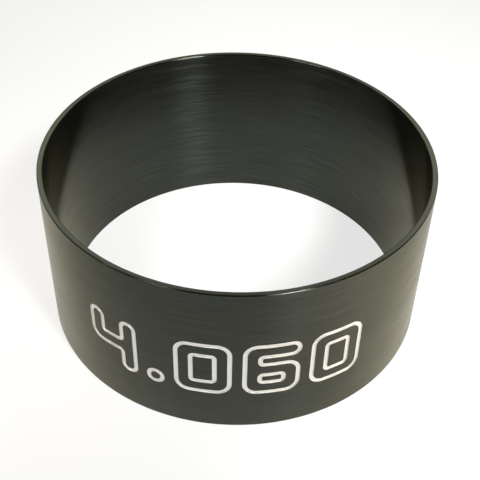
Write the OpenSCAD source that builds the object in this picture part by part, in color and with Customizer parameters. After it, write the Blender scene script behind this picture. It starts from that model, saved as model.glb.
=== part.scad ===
// Tapered piston ring compressor: one turned sleeve that stands on the engine block's deck.
// Millimetres. +Z runs up the bore, and the origin is the centre of the deck face.

/* [Bore] */
// Diameter of the straight land at the lower end, equal to the cylinder bore
bore_d = 103.12; // [80:0.01:125]
// Height of the land's upper end above the deck face
land_h = 3.2; // [2:0.1:10]

/* [Sleeve] */
// Height from the deck face to the rim
sleeve_h = 50.8; // [35:0.1:75]
// Wall thickness at the land
base_wall = 5.08; // [4:0.01:8]
// Wall thickness at the rim, where the taper is widest
rim_wall = 1.65; // [1.2:0.05:3]

/* [Edges] */
// Edge break on both corners of the rim
rim_break = 0.35; // [0.1:0.05:0.5]
// Edge break on both corners of the deck face
deck_break = 0.35; // [0.1:0.05:1]

/* [Hidden] */
bore_r = bore_d / 2;
outer_r = bore_r + base_wall;
mouth_r = outer_r - rim_wall;
sleeve_colour = "#2e2e29";
$fn = 180;

// Radius of the tapered wall at a height above the deck face
function taper_r(z) = bore_r + (mouth_r - bore_r) * (z - land_h) / (sleeve_h - land_h);

// Half section of the wall, with x as the radius and y as the height
module wall_section() {
    deck_face = [[bore_r + deck_break, 0], [outer_r - deck_break, 0]];
    outer_wall = [[outer_r, deck_break], [outer_r, sleeve_h - rim_break]];
    rim_face = [[outer_r - rim_break, sleeve_h], [mouth_r + rim_break, sleeve_h]];
    taper = [[taper_r(sleeve_h - rim_break), sleeve_h - rim_break], [bore_r, land_h]];
    land_end = [[bore_r, deck_break]];
    polygon(concat(deck_face, outer_wall, rim_face, taper, land_end));
}

module tapered_sleeve() {
    color(sleeve_colour) rotate_extrude() wall_section();
}

tapered_sleeve();
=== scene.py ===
"""Looks of a tapered piston ring compressor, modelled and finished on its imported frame."""

import math
from typing import NamedTuple

import bmesh
import bpy
from bpy.props import (
    FloatProperty,
    FloatVectorProperty,
    IntProperty,
    PointerProperty,
    StringProperty,
)
from bpy.types import Operator, Panel, PropertyGroup
from mathutils import Matrix, Vector


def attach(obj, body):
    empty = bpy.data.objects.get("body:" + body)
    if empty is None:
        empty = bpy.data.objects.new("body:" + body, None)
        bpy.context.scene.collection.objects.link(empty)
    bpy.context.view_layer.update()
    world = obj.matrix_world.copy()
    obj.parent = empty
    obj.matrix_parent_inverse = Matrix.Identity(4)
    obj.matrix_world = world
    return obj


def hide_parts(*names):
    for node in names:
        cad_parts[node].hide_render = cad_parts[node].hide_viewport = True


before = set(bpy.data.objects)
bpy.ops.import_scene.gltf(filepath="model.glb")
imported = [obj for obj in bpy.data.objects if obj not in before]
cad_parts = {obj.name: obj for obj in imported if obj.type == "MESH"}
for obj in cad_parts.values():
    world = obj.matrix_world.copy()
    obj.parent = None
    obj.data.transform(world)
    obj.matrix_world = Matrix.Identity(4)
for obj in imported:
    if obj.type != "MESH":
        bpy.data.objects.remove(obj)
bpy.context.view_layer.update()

bl_info = {
    "name": "Tapered Ring Compressor",
    "version": (1, 0, 0),
    "blender": (4, 5, 0),
    "location": "View3D > Sidebar > Ring Compressor",
    "description": "Turns, mills and anodises a tapered piston ring compressor, and sets its studio",
    "category": "Object",
}

SLEEVE_NODE = "tapered_sleeve"

# Pieces are modelled in millimetres and brought to metres when they are done
MM = 0.001
# Two places count as the same within this many millimetres
NEAR = 0.01
# Vertices closer than this many millimetres are merged
MERGE = 0.001
# Edges that turn by more than this stay sharp
SMOOTH_ANGLE = math.radians(30.0)


# Sizes that the frame gives

# Digits that are kept of a millimetre
SIZE_DIGITS = 2


def cad_section(node):
    """The corners of a turned node's section as (radius, height) pairs in millimetres."""
    corners = set()
    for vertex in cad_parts[node].data.vertices:
        x, y, z = vertex.co / MM
        corners.add((round(math.hypot(x, y), SIZE_DIGITS), round(z, SIZE_DIGITS)))
    return corners


SECTION = cad_section(SLEEVE_NODE)
OUTER_R = max(radius for radius, height in SECTION)
BORE_R = min(radius for radius, height in SECTION)
SLEEVE_H = max(height for radius, height in SECTION)
LAND_H = max(height for radius, height in SECTION if radius < BORE_R + NEAR)
RIM_FLAT = [radius for radius, height in SECTION if height > SLEEVE_H - NEAR]
RIM_BREAK = OUTER_R - max(RIM_FLAT)
MOUTH_R = min(RIM_FLAT) - RIM_BREAK


# Settings that a user would change

class SleeveSettings(PropertyGroup):
    """Sizes of the turned sleeve."""

    outer_radius: FloatProperty(
        name="Outer Radius", description="Radius of the straight outside",
        default=OUTER_R * MM, unit="LENGTH", precision=5)
    bore_radius: FloatProperty(
        name="Bore Radius", description="Radius of the straight land at the lower end",
        default=BORE_R * MM, unit="LENGTH", precision=5)
    mouth_radius: FloatProperty(
        name="Mouth Radius", description="Radius of the taper where it meets the rim",
        default=MOUTH_R * MM, unit="LENGTH", precision=5)
    height: FloatProperty(
        name="Height", description="Height from the deck face to the rim",
        default=SLEEVE_H * MM, unit="LENGTH", precision=5)
    land_height: FloatProperty(
        name="Land Height", description="Height of the land's upper end",
        default=LAND_H * MM, unit="LENGTH", precision=5)
    edge_radius: FloatProperty(
        name="Edge Radius", description="Rounding of the rim's and the deck face's corners",
        default=0.33 * MM, unit="LENGTH", precision=5)
    land_blend: FloatProperty(
        name="Land Blend", description="Length over which the land runs into the taper",
        default=1.2 * MM, unit="LENGTH", precision=5)
    turn_steps: IntProperty(
        name="Turn Steps", description="Facets round the sleeve",
        default=480, min=48)


class MarkingSettings(PropertyGroup):
    """Sizes of the milled bore size on the outside."""

    figures: StringProperty(
        name="Figures", description="Bore size in inches, in digits and points",
        default="4.060")
    height: FloatProperty(
        name="Height", description="Height of a figure's outline",
        default=18.0 * MM, unit="LENGTH", precision=5)
    width: FloatProperty(
        name="Width", description="Width of a digit's outline",
        default=14.4 * MM, unit="LENGTH", precision=5)
    stroke: FloatProperty(
        name="Stroke", description="Width of a figure's strokes between their outlines",
        default=4.0 * MM, unit="LENGTH", precision=5)
    gap: FloatProperty(
        name="Gap", description="Space between neighbouring figures",
        default=4.0 * MM, unit="LENGTH", precision=5)
    corner: FloatProperty(
        name="Corner", description="Rounding of a figure's outer corners",
        default=3.4 * MM, unit="LENGTH", precision=5)
    inner_corner: FloatProperty(
        name="Inner Corner", description="Rounding of a figure's inner corners",
        default=1.0 * MM, unit="LENGTH", precision=5)
    line_width: FloatProperty(
        name="Line Width", description="Width that the cutter mills",
        default=1.25 * MM, unit="LENGTH", precision=5)
    line_depth: FloatProperty(
        name="Line Depth", description="Depth that the cutter mills",
        default=0.35 * MM, unit="LENGTH", precision=5)
    cutter_corner: FloatProperty(
        name="Cutter Corner", description="Rounding at the foot of the milled line",
        default=0.12 * MM, unit="LENGTH", precision=5)
    base_height: FloatProperty(
        name="Base Height", description="Height of the figures' feet above the deck face",
        default=14.2 * MM, unit="LENGTH", precision=5)
    turn: FloatProperty(
        name="Turn", description="Turn of the figures' middle from the front, to the right",
        default=math.radians(-3.0), unit="ROTATION")


class FinishSettings(PropertyGroup):
    """Colours and finish of the anodised and of the bare metal."""

    dye: FloatVectorProperty(
        name="Dye", description="Colour of the dyed oxide seen straight on",
        default=(0.0445, 0.0485, 0.0410), subtype="COLOR", min=0.0, max=1.0)
    edge_tint: FloatVectorProperty(
        name="Edge Tint", description="Tint of the oxide's gloss seen at a low angle",
        default=(1.0, 0.975, 0.85), subtype="COLOR", min=0.0, max=1.0)
    dye_roughness: FloatProperty(
        name="Dye Roughness", description="Mean roughness of the anodised metal",
        default=0.21, min=0.0, max=1.0)
    turned_stretch: FloatProperty(
        name="Turned Stretch", description="How far the turning lines stretch a highlight across them",
        default=1.0, min=0.0, max=1.0)
    line_pitch: FloatProperty(
        name="Line Pitch", description="Spacing of the turning lines",
        default=0.42 * MM, unit="LENGTH", precision=6)
    line_height: FloatProperty(
        name="Line Height", description="Height of the turning lines",
        default=0.03 * MM, unit="LENGTH", precision=6)
    bare_metal: FloatVectorProperty(
        name="Bare Metal", description="Colour of the milled aluminium",
        default=(0.785, 0.77, 0.73), subtype="COLOR", min=0.0, max=1.0)
    bare_roughness: FloatProperty(
        name="Bare Roughness", description="Mean roughness of the milled aluminium",
        default=0.55, min=0.0, max=1.0)


class StageSettings(PropertyGroup):
    """Floor, studio light and camera."""

    floor_colour: FloatVectorProperty(
        name="Floor Colour", description="Colour of the floor's paper",
        default=(0.93, 0.92, 0.88), subtype="COLOR", min=0.0, max=1.0)
    floor_white: FloatProperty(
        name="Floor White", description="Share of plain white in what shows of the floor near the sleeve",
        default=0.70, min=0.0, max=1.0)
    floor_size: FloatProperty(
        name="Floor Size", description="Side of the square floor",
        default=20.0, unit="LENGTH")
    key_power: FloatProperty(
        name="Key Power", description="Power of the soft box at the front right",
        default=0.325, unit="POWER")
    fill_power: FloatProperty(
        name="Fill Power", description="Power of the soft box at the front left",
        default=0.22, unit="POWER")
    right_power: FloatProperty(
        name="Right Power", description="Power of the small box over the paper at the right",
        default=0.27, unit="POWER")
    left_power: FloatProperty(
        name="Left Power", description="Power of the small box over the paper at the left",
        default=0.065, unit="POWER")
    sweep: FloatProperty(
        name="Sweep", description="Brightness of the paper sweep behind and of its low rim",
        default=2.4, min=0.0)
    room: FloatProperty(
        name="Room", description="Brightness of the room in front and above",
        default=0.01, min=0.0)
    lens: FloatProperty(
        name="Lens", description="Focal length on a 36 mm wide sensor, in millimetres",
        default=70.48, min=10.0)
    shift_up: FloatProperty(
        name="Shift Up", description="Upward shift of the picture, as a share of its width",
        default=0.05)
    distance: FloatProperty(
        name="Distance", description="Camera's distance from the sleeve's centre",
        default=0.28529, unit="LENGTH", precision=5)
    elevation: FloatProperty(
        name="Elevation", description="Camera's height angle",
        default=math.radians(40.68), unit="ROTATION")
    pan: FloatProperty(
        name="Pan", description="Camera's turn to the right of the sleeve's centre",
        default=math.radians(0.27), unit="ROTATION")
    tilt: FloatProperty(
        name="Tilt", description="Camera's turn above the sleeve's centre",
        default=math.radians(-2.49), unit="ROTATION")
    roll: FloatProperty(
        name="Roll", description="Camera's lean to the left",
        default=math.radians(1.23), unit="ROTATION")


# Modelling by hand

# Shape of a rounded corner, where a half is a round one
ROUND_PROFILE = 0.5


def deselect():
    """Leaves nothing selected, so that an operator acts on the new piece alone."""
    bpy.ops.object.select_all(action="DESELECT")


def work_on(piece):
    """Makes a piece the only selected and active object."""
    deselect()
    piece.select_set(True)
    bpy.context.view_layer.objects.active = piece


def near(a, b):
    """Whether two lengths in millimetres are the same."""
    return abs(a - b) < NEAR


def pick(test, part="verts"):
    """Selects the active mesh's vertices, edges or faces that pass a test, in edit mode."""
    mesh = bpy.context.object.data
    shape = bmesh.from_edit_mesh(mesh)
    for kind in (shape.verts, shape.edges, shape.faces):
        for element in kind:
            element.select_set(False)
    for element in getattr(shape, part):
        if test(element):
            element.select_set(True)
    bmesh.update_edit_mesh(mesh)


def move(x=0.0, y=0.0, z=0.0):
    """Moves what is selected, in millimetres."""
    bpy.ops.transform.translate(value=(x, y, z))


def round_vertices(radius, segments):
    """Rounds the selected corners of an outline."""
    bpy.ops.mesh.bevel(affect="VERTICES", offset=radius, segments=segments, profile=ROUND_PROFILE)


def apply_modifier(piece, kind, **settings):
    """Adds a modifier with its settings and applies it."""
    work_on(piece)
    modifier = piece.modifiers.new(kind.title(), kind)
    for name, value in settings.items():
        setattr(modifier, name, value)
    bpy.ops.object.modifier_apply(modifier=modifier.name)


def to_metres(piece):
    """Brings a piece modelled in millimetres to the frame's metres."""
    work_on(piece)
    piece.scale = (MM, MM, MM)
    bpy.ops.object.transform_apply(location=True, rotation=True, scale=True)


# Shader nodes as expressions

# Sockets of a Mix node that blends colours
MIX_FACTOR = 0
MIX_FIRST = 6
MIX_SECOND = 7
MIX_RESULT = 2
# Octaves of a noise, and the middle of its range
NOISE_DETAIL = 3.0
NOISE_MEAN = 0.5


class Value:
    """A shader socket that takes part in sums, and adds the Math nodes for them."""

    def __init__(self, tree, socket):
        self.tree = tree
        self.socket = socket

    def node(self, kind, settings=None, sockets=None, out=0):
        """Adds a node of any type: its settings first, then its sockets' values or links."""
        return add_node(self.tree, kind, settings, sockets, out)

    def math(self, operation, *operands):
        """Adds a Math node on these operands."""
        return self.node("ShaderNodeMath", {"operation": operation}, dict(enumerate(operands)))

    def __add__(self, other):
        return self.math("ADD", self, other)

    __radd__ = __add__

    def __sub__(self, other):
        return self.math("SUBTRACT", self, other)

    def __rsub__(self, other):
        return self.math("SUBTRACT", other, self)

    def __mul__(self, other):
        return self.math("MULTIPLY", self, other)

    __rmul__ = __mul__

    def __truediv__(self, other):
        return self.math("DIVIDE", self, other)

    def __pow__(self, other):
        return self.math("POWER", self, other)


def add_node(tree, kind, settings=None, sockets=None, out=0):
    """Adds a node to a tree and gives one of its outputs as a Value."""
    node = tree.nodes.new(kind)
    for name, value in (settings or {}).items():
        if name == "stops":
            set_stops(node.color_ramp, value)
        else:
            setattr(node, name, value)
    for name, value in (sockets or {}).items():
        if isinstance(value, Value):
            tree.links.new(value.socket, node.inputs[name])
        else:
            node.inputs[name].default_value = value
    return Value(tree, node.outputs[out]) if node.outputs else None


def set_stops(ramp, stops):
    """Gives a colour ramp its (place, grey) stops."""
    while len(ramp.elements) > 1:
        ramp.elements.remove(ramp.elements[-1])
    for index, (place, grey) in enumerate(stops):
        element = ramp.elements[0] if index == 0 else ramp.elements.new(place)
        element.position = place
        element.color = (grey, grey, grey, 1.0)


def new_tree(owner):
    """An empty node tree on a material or a world."""
    owner.use_nodes = True
    owner.node_tree.nodes.clear()
    return owner.node_tree


def opaque(colour):
    """A colour with full alpha, as a node's socket takes it."""
    return (*colour, 1.0)


def shaded(colour, share):
    """A share of a colour, with full alpha."""
    return opaque([share * part for part in colour])


def blend(factor, first, second):
    """A colour between two, by a factor."""
    return factor.node("ShaderNodeMix", {"data_type": "RGBA"}, {
        MIX_FACTOR: factor, MIX_FIRST: first, MIX_SECOND: second}, out=MIX_RESULT)


def noise(vector, scale, roughness):
    """Noise from 0 to 1 at a place, at a scale and with its finer octaves this strong."""
    return vector.node("ShaderNodeTexNoise", {"noise_dimensions": "3D"}, {
        "Vector": vector, "Scale": scale, "Detail": NOISE_DETAIL, "Roughness": roughness})


def split_vector(vector):
    """The x, y and z of a vector."""
    split = vector.node("ShaderNodeSeparateXYZ", None, {"Vector": vector})
    outputs = split.socket.node.outputs
    return [Value(vector.tree, outputs[name]) for name in ("X", "Y", "Z")]


# The anodised and the milled metal

# Strength of the finer octaves in the turning lines
LINE_NOISE = 0.65
# How often fine lines and broad bands change round the sleeve, and how many pitches a band is wide
FINE_DRIFT = 3.0
BROAD_DRIFT = 2.0
BROAD_PITCHES = 8.0
# How far the lines lie from the dye's colour, and how sharply they part
LINE_SHADE = 0.35
LINE_CONTRAST = 1.9
# How far fine lines and broad bands change the roughness
FINE_ROUGHNESS = 0.14
BROAD_ROUGHNESS = 0.12
# Turn of the stretched highlight, so that it runs across the lines
ACROSS_LINES = 0.25
# Grains of the milled metal in a metre, and the strength of their finer octaves
GRAIN_SCALE = 2600.0
GRAIN_NOISE = 0.6
# Height of the grains in metres, how strongly they show, their darkest shade and their change of roughness
GRAIN_HEIGHT = 0.02 * MM
GRAIN_STRENGTH = 0.5
GRAIN_SHADE = 0.9
GRAIN_ROUGHNESS = 0.2


def turned_place(tree):
    """Object coordinates of a turned piece: the direction from its axis, and the way along its section."""
    x, y, z = split_vector(add_node(tree, "ShaderNodeTexCoord", out="Object"))
    radius = (x * x + y * y) ** 0.5
    return x / radius, y / radius, z - radius


def turning_lines(tree, pitch, drift):
    """Fine lines round the axis, from 0 to 1, that come and go round the piece."""
    across, ahead, along = turned_place(tree)
    vector = across.node("ShaderNodeCombineXYZ", None, {
        "X": across * drift, "Y": ahead * drift, "Z": along / pitch})
    return noise(vector, 1.0, LINE_NOISE)


def anodised_metal(finish):
    """Black anodised aluminium over fine turning lines."""
    material = bpy.data.materials.new("black_anodised")
    tree = new_tree(material)
    fine = turning_lines(tree, finish.line_pitch, FINE_DRIFT)
    broad = turning_lines(tree, BROAD_PITCHES * finish.line_pitch, BROAD_DRIFT)
    rough = FINE_ROUGHNESS * (fine - NOISE_MEAN) + BROAD_ROUGHNESS * (broad - NOISE_MEAN)
    bump = fine.node("ShaderNodeBump", None, {
        "Strength": 1.0, "Distance": finish.line_height, "Height": fine})
    parting = LINE_CONTRAST * (fine - NOISE_MEAN) + NOISE_MEAN
    dye = blend(parting, shaded(finish.dye, 1.0 - LINE_SHADE), shaded(finish.dye, 1.0 + LINE_SHADE))
    surface = fine.node("ShaderNodeBsdfPrincipled", None, {
        "Base Color": dye,
        "Metallic": 1.0,
        "Roughness": finish.dye_roughness + rough,
        "Specular Tint": opaque(finish.edge_tint),
        "Anisotropic": finish.turned_stretch,
        "Anisotropic Rotation": ACROSS_LINES,
        "Normal": bump})
    add_node(tree, "ShaderNodeOutputMaterial", None, {"Surface": surface})
    return material


def milled_metal(finish):
    """Bare aluminium as a small end mill leaves it."""
    material = bpy.data.materials.new("milled_aluminium")
    tree = new_tree(material)
    grain = noise(add_node(tree, "ShaderNodeTexCoord", out="Object"), GRAIN_SCALE, GRAIN_NOISE)
    bump = grain.node("ShaderNodeBump", None, {
        "Strength": GRAIN_STRENGTH, "Distance": GRAIN_HEIGHT, "Height": grain})
    shade = blend(grain, shaded(finish.bare_metal, GRAIN_SHADE), opaque(finish.bare_metal))
    surface = grain.node("ShaderNodeBsdfPrincipled", None, {
        "Base Color": shade,
        "Metallic": 1.0,
        "Roughness": finish.bare_roughness + GRAIN_ROUGHNESS * (grain - NOISE_MEAN),
        "Normal": bump})
    add_node(tree, "ShaderNodeOutputMaterial", None, {"Surface": surface})
    return material


# The sleeve

# Steps in the rounding of the land's upper end and of the edges
BLEND_SEGMENTS = 4
EDGE_SEGMENTS = 6


def draw_section(settings):
    """Draws the wall's section as an outline in the XZ plane, with its corners rounded."""
    outer = settings.outer_radius / MM
    bore = settings.bore_radius / MM
    mouth = settings.mouth_radius / MM
    height = settings.height / MM
    land = settings.land_height / MM
    deselect()
    bpy.ops.mesh.primitive_plane_add(
        size=1.0, location=((outer + bore) / 2, 0.0, height / 2), rotation=(math.pi / 2, 0.0, 0.0))
    sleeve = bpy.context.object
    sleeve.name = "sleeve"
    sleeve.scale = (outer - bore, height, 1.0)
    bpy.ops.object.transform_apply(location=True, rotation=True, scale=True)
    bpy.ops.object.mode_set(mode="EDIT")
    bpy.ops.mesh.select_all(action="SELECT")
    bpy.ops.mesh.delete(type="ONLY_FACE")
    pick(lambda vertex: near(vertex.co.x, bore))
    bpy.ops.mesh.subdivide(number_cuts=1)
    pick(lambda vertex: near(vertex.co.x, bore) and near(vertex.co.z, height / 2))
    move(z=land - height / 2)
    pick(lambda vertex: near(vertex.co.x, bore) and near(vertex.co.z, height))
    move(x=mouth - bore)
    pick(lambda vertex: near(vertex.co.z, land))
    round_vertices(settings.land_blend / MM, BLEND_SEGMENTS)
    pick(lambda vertex: near(vertex.co.z, 0.0) or near(vertex.co.z, height))
    round_vertices(settings.edge_radius / MM, EDGE_SEGMENTS)
    bpy.ops.object.mode_set(mode="OBJECT")
    return sleeve


def spin_section(steps):
    """Spins the active outline once round the Z axis and closes it."""
    bpy.ops.object.mode_set(mode="EDIT")
    bpy.ops.mesh.select_all(action="SELECT")
    bpy.ops.mesh.spin(steps=steps, angle=math.tau, center=(0.0, 0.0, 0.0), axis=(0.0, 0.0, 1.0))
    bpy.ops.mesh.select_all(action="SELECT")
    bpy.ops.mesh.remove_doubles(threshold=MERGE)
    bpy.ops.mesh.normals_make_consistent(inside=False)
    bpy.ops.object.mode_set(mode="OBJECT")


class RING_OT_turn_sleeve(Operator):
    """Turn the sleeve from its section, and anodise it"""

    bl_idname = "ring_compressor.turn_sleeve"
    bl_label = "Turn Sleeve"

    def execute(self, context):
        scene = context.scene
        sleeve = draw_section(scene.ring_sleeve)
        spin_section(scene.ring_sleeve.turn_steps)
        to_metres(sleeve)
        sleeve.data.materials.append(anodised_metal(scene.ring_finish))
        bpy.ops.object.shade_smooth_by_angle(angle=SMOOTH_ANGLE)
        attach(sleeve, "root")
        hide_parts(SLEEVE_NODE)
        return {"FINISHED"}


# The milled bore size

# Longest straight run of an outline before it is bent round the wall, in millimetres
LONGEST_EDGE = 1.2
# How far the cutter stands proud of the wall, in millimetres
CUTTER_MARGIN = 0.5
# Rounding of a stroke's end, as a share of the stroke's width
END_SHARE = 0.48
# Steps in the rounding of inner corners, stroke ends and outer corners
INNER_SEGMENTS = 5
END_SEGMENTS = 6
OUTER_SEGMENTS = 8
# Two edges of an outline make a corner where the cosine between them is below this
CORNER_COSINE = 0.5
# Steps in the rounding of the cutter's edges, and the least turn of an edge that is rounded
CUTTER_SEGMENTS = 2
CUTTER_ANGLE = math.radians(60.0)
# Faces that meet at an inner corner of a figure's cells, and at an edge between two cells
INNER_CORNER_FACES = 3
SHARED_EDGE_FACES = 2
# Cells of each figure from its top row down, where a mark is solid
FIGURES = {
    "0": ("###", "# #", "# #", "# #", "###"),
    "4": ("# #", "# #", "###", "  #", "  #"),
    "6": ("###", "#  ", "###", "# #", "###"),
    ".": (" ", " ", " ", " ", "#"),
}


def cut_lines(steps):
    """The places of the lines between cells of these sizes, from 0 to their sum."""
    places = [0.0]
    for step in steps:
        places.append(places[-1] + step)
    return places


def cell_of(place, lines):
    """Which cell a place falls in, counted from 0."""
    return sum(place > line for line in lines[1:-1])


def turns_at(vertex):
    """Whether an outline turns a corner at a vertex."""
    first, second = (edge.other_vert(vertex).co - vertex.co for edge in vertex.link_edges)
    return abs(first.normalized().dot(second.normalized())) < CORNER_COSINE


def draw_plate(figure, settings):
    """Cuts one figure out of a plate on the XY plane, its lower left corner at the origin."""
    rows = FIGURES[figure]
    stroke = settings.stroke / MM
    # A digit is two strokes wide and three high, with a gap between strokes
    column_gap = settings.width / MM - 2 * stroke
    row_gap = (settings.height / MM - 3 * stroke) / 2
    columns = cut_lines([stroke, column_gap, stroke][:len(rows[0])])
    levels = cut_lines([stroke, row_gap, stroke, row_gap, stroke])
    deselect()
    bpy.ops.mesh.primitive_plane_add(size=1.0, location=(columns[-1] / 2, levels[-1] / 2, 0.0))
    plate = bpy.context.object
    plate.scale = (columns[-1], levels[-1], 1.0)
    bpy.ops.object.transform_apply(location=True, rotation=True, scale=True)
    bpy.ops.object.mode_set(mode="EDIT")
    for column in columns[1:-1]:
        bpy.ops.mesh.select_all(action="SELECT")
        bpy.ops.mesh.bisect(plane_co=(column, 0.0, 0.0), plane_no=(1.0, 0.0, 0.0))
    for level in levels[1:-1]:
        bpy.ops.mesh.select_all(action="SELECT")
        bpy.ops.mesh.bisect(plane_co=(0.0, level, 0.0), plane_no=(0.0, 1.0, 0.0))

    def is_empty(face):
        middle = face.calc_center_median()
        return rows[-1 - cell_of(middle.y, levels)][cell_of(middle.x, columns)] == " "

    pick(is_empty, "faces")
    bpy.ops.mesh.delete(type="FACE")
    return plate, columns[-1]


def outline_plate(settings):
    """Leaves the active plate's outlines, with their corners rounded, in edit mode."""
    shape = bmesh.from_edit_mesh(bpy.context.object.data)
    inner_corners = [
        vertex.co.copy() for vertex in shape.verts if len(vertex.link_faces) == INNER_CORNER_FACES]
    pick(lambda edge: len(edge.link_faces) == SHARED_EDGE_FACES, "edges")
    bpy.ops.mesh.delete(type="EDGE")
    bpy.ops.mesh.select_all(action="SELECT")
    bpy.ops.mesh.delete(type="ONLY_FACE")
    pick(lambda vertex: not turns_at(vertex))
    bpy.ops.mesh.dissolve_verts()

    def is_inner(vertex):
        return any((vertex.co - corner).length < NEAR for corner in inner_corners)

    def is_end(vertex):
        lengths = [edge.calc_length() for edge in vertex.link_edges]
        return min(lengths) < settings.stroke / MM + NEAR

    pick(is_inner)
    round_vertices(settings.inner_corner / MM, INNER_SEGMENTS)
    pick(lambda vertex: turns_at(vertex) and is_end(vertex))
    round_vertices(END_SHARE * settings.stroke / MM, END_SEGMENTS)
    pick(lambda vertex: turns_at(vertex))
    round_vertices(settings.corner / MM, OUTER_SEGMENTS)


def split_long_edges(longest):
    """Splits the active outline's edges until none is longer than this, in edit mode."""
    mesh = bpy.context.object.data
    while any(edge.calc_length() > longest for edge in bmesh.from_edit_mesh(mesh).edges):
        pick(lambda edge: edge.calc_length() > longest, "edges")
        bpy.ops.mesh.subdivide(number_cuts=1)


def draw_marking(settings):
    """Draws all the figures' outlines in one piece, upright, centred on X and standing on Z 0."""
    outlines = []
    place = 0.0
    for figure in settings.figures:
        outline, width = draw_plate(figure, settings)
        outline_plate(settings)
        split_long_edges(LONGEST_EDGE)
        bpy.ops.object.mode_set(mode="OBJECT")
        outline.location.x = place
        outlines.append(outline)
        place += width + settings.gap / MM
    deselect()
    for outline in outlines:
        outline.select_set(True)
    bpy.context.view_layer.objects.active = outlines[0]
    bpy.ops.object.join()
    marking = bpy.context.object
    marking.name = "marking_cutter"
    marking.location.x = -(place - settings.gap / MM) / 2
    marking.rotation_euler.x = math.pi / 2
    bpy.ops.object.transform_apply(location=True, rotation=True, scale=True)
    return marking


def make_cutter(settings, wall_radius):
    """Makes the path of the end mill as a solid, bent round the sleeve's outside."""
    cutter = draw_marking(settings)
    depth = settings.line_depth / MM
    bpy.ops.object.mode_set(mode="EDIT")
    bpy.ops.mesh.select_all(action="SELECT")
    move(y=depth)
    bpy.ops.mesh.extrude_region_move(TRANSFORM_OT_translate={"value": (0.0, -depth - CUTTER_MARGIN, 0.0)})
    bpy.ops.mesh.select_all(action="SELECT")
    bpy.ops.mesh.normals_make_consistent(inside=False)
    bpy.ops.object.mode_set(mode="OBJECT")
    apply_modifier(cutter, "SOLIDIFY", thickness=settings.line_width / MM, offset=0.0, use_even_offset=True)
    apply_modifier(cutter, "BEVEL", width=settings.cutter_corner / MM, segments=CUTTER_SEGMENTS,
                   limit_method="ANGLE", angle_limit=CUTTER_ANGLE)
    apply_modifier(cutter, "SIMPLE_DEFORM", deform_method="BEND", deform_axis="Z",
                   angle=cutter.dimensions.x / wall_radius)
    cutter.location = (0.0, -wall_radius, settings.base_height / MM)
    bpy.ops.object.transform_apply(location=True, rotation=True, scale=True)
    cutter.rotation_euler.z = settings.turn
    bpy.ops.object.transform_apply(location=True, rotation=True, scale=True)
    to_metres(cutter)
    return cutter


class RING_OT_mill_size(Operator):
    """Mill the bore size into the sleeve's outside, down to bare metal"""

    bl_idname = "ring_compressor.mill_size"
    bl_label = "Mill Bore Size"

    def execute(self, context):
        scene = context.scene
        sleeve = scene.objects["sleeve"]
        cutter = make_cutter(scene.ring_marking, scene.ring_sleeve.outer_radius / MM)
        cutter.data.materials.append(milled_metal(scene.ring_finish))
        apply_modifier(sleeve, "BOOLEAN", operation="DIFFERENCE", object=cutter, solver="EXACT",
                       material_mode="TRANSFER")
        bpy.data.objects.remove(cutter)
        work_on(sleeve)
        bpy.ops.object.shade_smooth_by_angle(angle=SMOOTH_ANGLE)
        return {"FINISHED"}


# The stage

# How far the floor lies below the deck face, in metres
FLOOR_DROP = 0.02 * MM
# Distances from the sleeve's axis between which the floor turns plain white, in metres
WHITE_FROM = 0.20
WHITE_TO = 0.40
# Stops of the paper's low rim and lit field and of the white backdrop, by how far a direction rises
RIM_STOPS = [(0.0, 1.0), (0.04, 1.0), (0.08, 0.0)]
FIELD_STOPS = [(0.42, 0.0), (0.52, 1.0), (0.72, 1.0), (0.80, 0.0)]
BACKDROP_STOPS = [(0.0, 1.0), (0.10, 1.0), (0.14, 0.0)]
# Stops of the lit field by how far a direction points to the back
BEHIND_STOPS = [(0.50, 0.0), (0.62, 1.0)]
# Width of the camera's sensor in millimetres, and the nearest place that it sees, in metres
SENSOR_WIDTH = 36.0
NEAREST = 0.01
# Colours of the light
PLAIN = (1.0, 1.0, 1.0)
WARM = (1.0, 0.86, 0.71)
PAPER = (1.0, 0.98, 0.86)


def showing_rays(tree):
    """1 for rays that show the background, from the camera, off gloss or through glass, else 0."""
    path = add_node(tree, "ShaderNodeLightPath")
    outputs = path.socket.node.outputs
    camera = Value(tree, outputs["Is Camera Ray"])
    glossy = Value(tree, outputs["Is Glossy Ray"])
    through = Value(tree, outputs["Is Transmission Ray"])
    return camera.math("MAXIMUM", camera, camera.math("MAXIMUM", glossy, through))


def white_share(tree, stage):
    """How much plain white those rays find on the floor: all of it far out, and less near the sleeve."""
    place = add_node(tree, "ShaderNodeTexCoord", out="Object")
    away = place.node("ShaderNodeVectorMath", {"operation": "LENGTH"}, {0: place}, out="Value")
    far = away.node("ShaderNodeMapRange", None, {
        "Value": away, "From Min": WHITE_FROM, "From Max": WHITE_TO,
        "To Min": stage.floor_white, "To Max": 1.0})
    return far * showing_rays(tree)


def lay_floor(stage):
    """A plain pale floor that shows nearly white and keeps the sleeve's shadow."""
    deselect()
    bpy.ops.mesh.primitive_plane_add(size=stage.floor_size, location=(0.0, 0.0, -FLOOR_DROP))
    floor = bpy.context.object
    floor.name = "floor"
    material = bpy.data.materials.new("floor")
    tree = new_tree(material)
    paper = add_node(tree, "ShaderNodeBsdfDiffuse", None, {"Color": opaque(stage.floor_colour)})
    white = add_node(tree, "ShaderNodeEmission", None, {"Color": opaque(PLAIN), "Strength": 1.0})
    surface = paper.node("ShaderNodeMixShader", None, {0: white_share(tree, stage), 1: paper, 2: white})
    add_node(tree, "ShaderNodeOutputMaterial", None, {"Surface": surface})
    floor.data.materials.append(material)


def grey_ramp(place, stops):
    """A grey that follows a value through (place, grey) stops."""
    return place.node("ShaderNodeValToRGB", {"stops": stops}, {"Fac": place})


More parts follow.
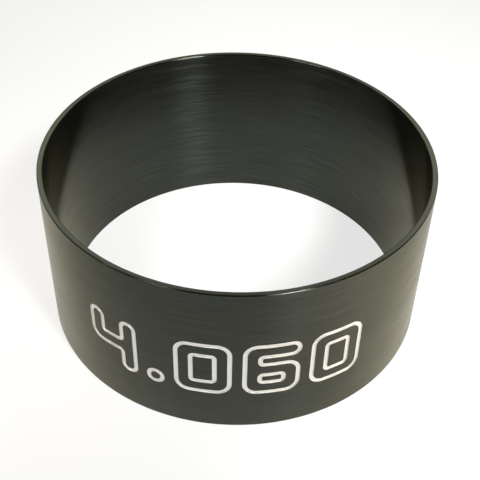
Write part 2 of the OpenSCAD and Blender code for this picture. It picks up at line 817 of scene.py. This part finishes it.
def light_room(scene, stage):
    """A paper sweep behind, a low pale rim, a low backdrop that shows white, and a dark room above."""
    world = bpy.data.worlds.new("room")
    tree = new_tree(world)
    _, back, rise = split_vector(add_node(tree, "ShaderNodeTexCoord", out="Generated"))
    field = grey_ramp(rise, FIELD_STOPS) * grey_ramp(back, BEHIND_STOPS)
    glow = field.math("MAXIMUM", grey_ramp(rise, RIM_STOPS), field)
    paper = glow.node("ShaderNodeVectorMath", {"operation": "SCALE"}, {
        0: PAPER, "Scale": stage.sweep * glow + stage.room})
    white = grey_ramp(rise, BACKDROP_STOPS) * showing_rays(tree)
    shown = paper.node("ShaderNodeVectorMath", {"operation": "MAXIMUM"}, {0: paper, 1: white})
    surface = glow.node("ShaderNodeBackground", None, {"Color": shown, "Strength": 1.0})
    add_node(tree, "ShaderNodeOutputWorld", None, {"Surface": surface})
    scene.world = world


class SoftBox(NamedTuple):
    """A soft box with a grid: its direction and distance, and its aim and size, in metres."""

    name: str
    toward: tuple
    distance: float
    aim: tuple
    size: tuple
    spread: float
    colour: tuple


KEY_BOX = SoftBox(
    name="key_box", toward=(0.40, -0.55, 0.73), distance=0.9, aim=(0.055, 0.05, 0.0),
    size=(0.20, 0.15), spread=math.radians(26.0), colour=PLAIN)
FILL_BOX = SoftBox(
    name="fill_box", toward=(-0.44, -0.34, 0.83), distance=0.9, aim=(-0.02, 0.04, 0.0),
    size=(0.20, 0.08), spread=math.radians(60.0), colour=PLAIN)
RIGHT_BOX = SoftBox(
    name="right_box", toward=(0.55, -0.25, 0.80), distance=0.8, aim=(0.135, -0.095, 0.0),
    size=(0.10, 0.10), spread=math.radians(14.0), colour=WARM)
LEFT_BOX = SoftBox(
    name="left_box", toward=(-0.50, 0.10, 0.80), distance=0.8, aim=(-0.15, -0.02, 0.0),
    size=(0.10, 0.10), spread=math.radians(20.0), colour=WARM)


def hang_soft_box(box, power):
    """Hangs one rectangular soft box with a grid."""
    deselect()
    place = Vector(box.toward).normalized() * box.distance
    turn = (place - Vector(box.aim)).to_track_quat("Z", "Y").to_euler()
    bpy.ops.object.light_add(type="AREA", location=place, rotation=turn)
    lamp = bpy.context.object
    lamp.name = box.name
    lamp.data.shape = "RECTANGLE"
    lamp.data.size = box.size[0]
    lamp.data.size_y = box.size[1]
    lamp.data.spread = box.spread
    lamp.data.color = box.colour
    lamp.data.energy = power


def hang_lamps(stage):
    """Hangs the two soft boxes in front, and the two that light the paper at the sides."""
    hang_soft_box(KEY_BOX, stage.key_power)
    hang_soft_box(FILL_BOX, stage.fill_power)
    hang_soft_box(RIGHT_BOX, stage.right_power)
    hang_soft_box(LEFT_BOX, stage.left_power)


def set_camera(scene, stage):
    """Sets the camera where the photograph was taken from."""
    deselect()
    centre = Vector((0.0, 0.0, SLEEVE_H * MM / 2))
    outward = Vector((0.0, -math.cos(stage.elevation), math.sin(stage.elevation)))
    bpy.ops.object.camera_add(location=centre + stage.distance * outward)
    camera = bpy.context.object
    camera.name = "camera"
    facing = (-outward).to_track_quat("-Z", "Y").to_matrix()
    turn = (Matrix.Rotation(-stage.pan, 3, "Y") @ Matrix.Rotation(stage.tilt, 3, "X")
            @ Matrix.Rotation(stage.roll, 3, "Z"))
    camera.rotation_euler = (facing @ turn).to_euler()
    camera.data.sensor_width = SENSOR_WIDTH
    camera.data.lens = stage.lens
    camera.data.shift_y = stage.shift_up
    camera.data.clip_start = NEAREST
    scene.camera = camera


class RING_OT_set_stage(Operator):
    """Lay the floor, hang the soft boxes and set the camera"""

    bl_idname = "ring_compressor.set_stage"
    bl_label = "Set Stage"

    def execute(self, context):
        stage = context.scene.ring_stage
        lay_floor(stage)
        light_room(context.scene, stage)
        hang_lamps(stage)
        set_camera(context.scene, stage)
        context.scene.view_settings.view_transform = "Standard"
        return {"FINISHED"}


# The panel and the add-on

# Each step with the settings that it uses
STEPS = (
    (RING_OT_turn_sleeve, ("ring_sleeve", "ring_finish")),
    (RING_OT_mill_size, ("ring_marking",)),
    (RING_OT_set_stage, ("ring_stage",)),
)


class RING_PT_panel(Panel):
    """Lists the steps and their settings"""

    bl_label = "Ring Compressor"
    bl_idname = "RING_PT_panel"
    bl_space_type = "VIEW_3D"
    bl_region_type = "UI"
    bl_category = "Ring Compressor"

    def draw(self, context):
        for step, groups in STEPS:
            self.layout.operator(step.bl_idname)
            for group in groups:
                settings = getattr(context.scene, group)
                for name in type(settings).__annotations__:
                    self.layout.prop(settings, name)


CLASSES = (
    SleeveSettings,
    MarkingSettings,
    FinishSettings,
    StageSettings,
    RING_OT_turn_sleeve,
    RING_OT_mill_size,
    RING_OT_set_stage,
    RING_PT_panel,
)


def register():
    """Registers the classes and hangs the settings on the scene."""
    for cls in CLASSES:
        bpy.utils.register_class(cls)
    bpy.types.Scene.ring_sleeve = PointerProperty(type=SleeveSettings)
    bpy.types.Scene.ring_marking = PointerProperty(type=MarkingSettings)
    bpy.types.Scene.ring_finish = PointerProperty(type=FinishSettings)
    bpy.types.Scene.ring_stage = PointerProperty(type=StageSettings)


def unregister():
    """Takes the settings off the scene and unregisters the classes."""
    del bpy.types.Scene.ring_sleeve
    del bpy.types.Scene.ring_marking
    del bpy.types.Scene.ring_finish
    del bpy.types.Scene.ring_stage
    for cls in reversed(CLASSES):
        bpy.utils.unregister_class(cls)


def make():
    """Makes the piece and the stage in order."""
    bpy.ops.ring_compressor.turn_sleeve()
    bpy.ops.ring_compressor.mill_size()
    bpy.ops.ring_compressor.set_stage()


def main():
    """Registers the classes and makes the scene."""
    register()
    make()


if __name__ == "__main__":
    main()
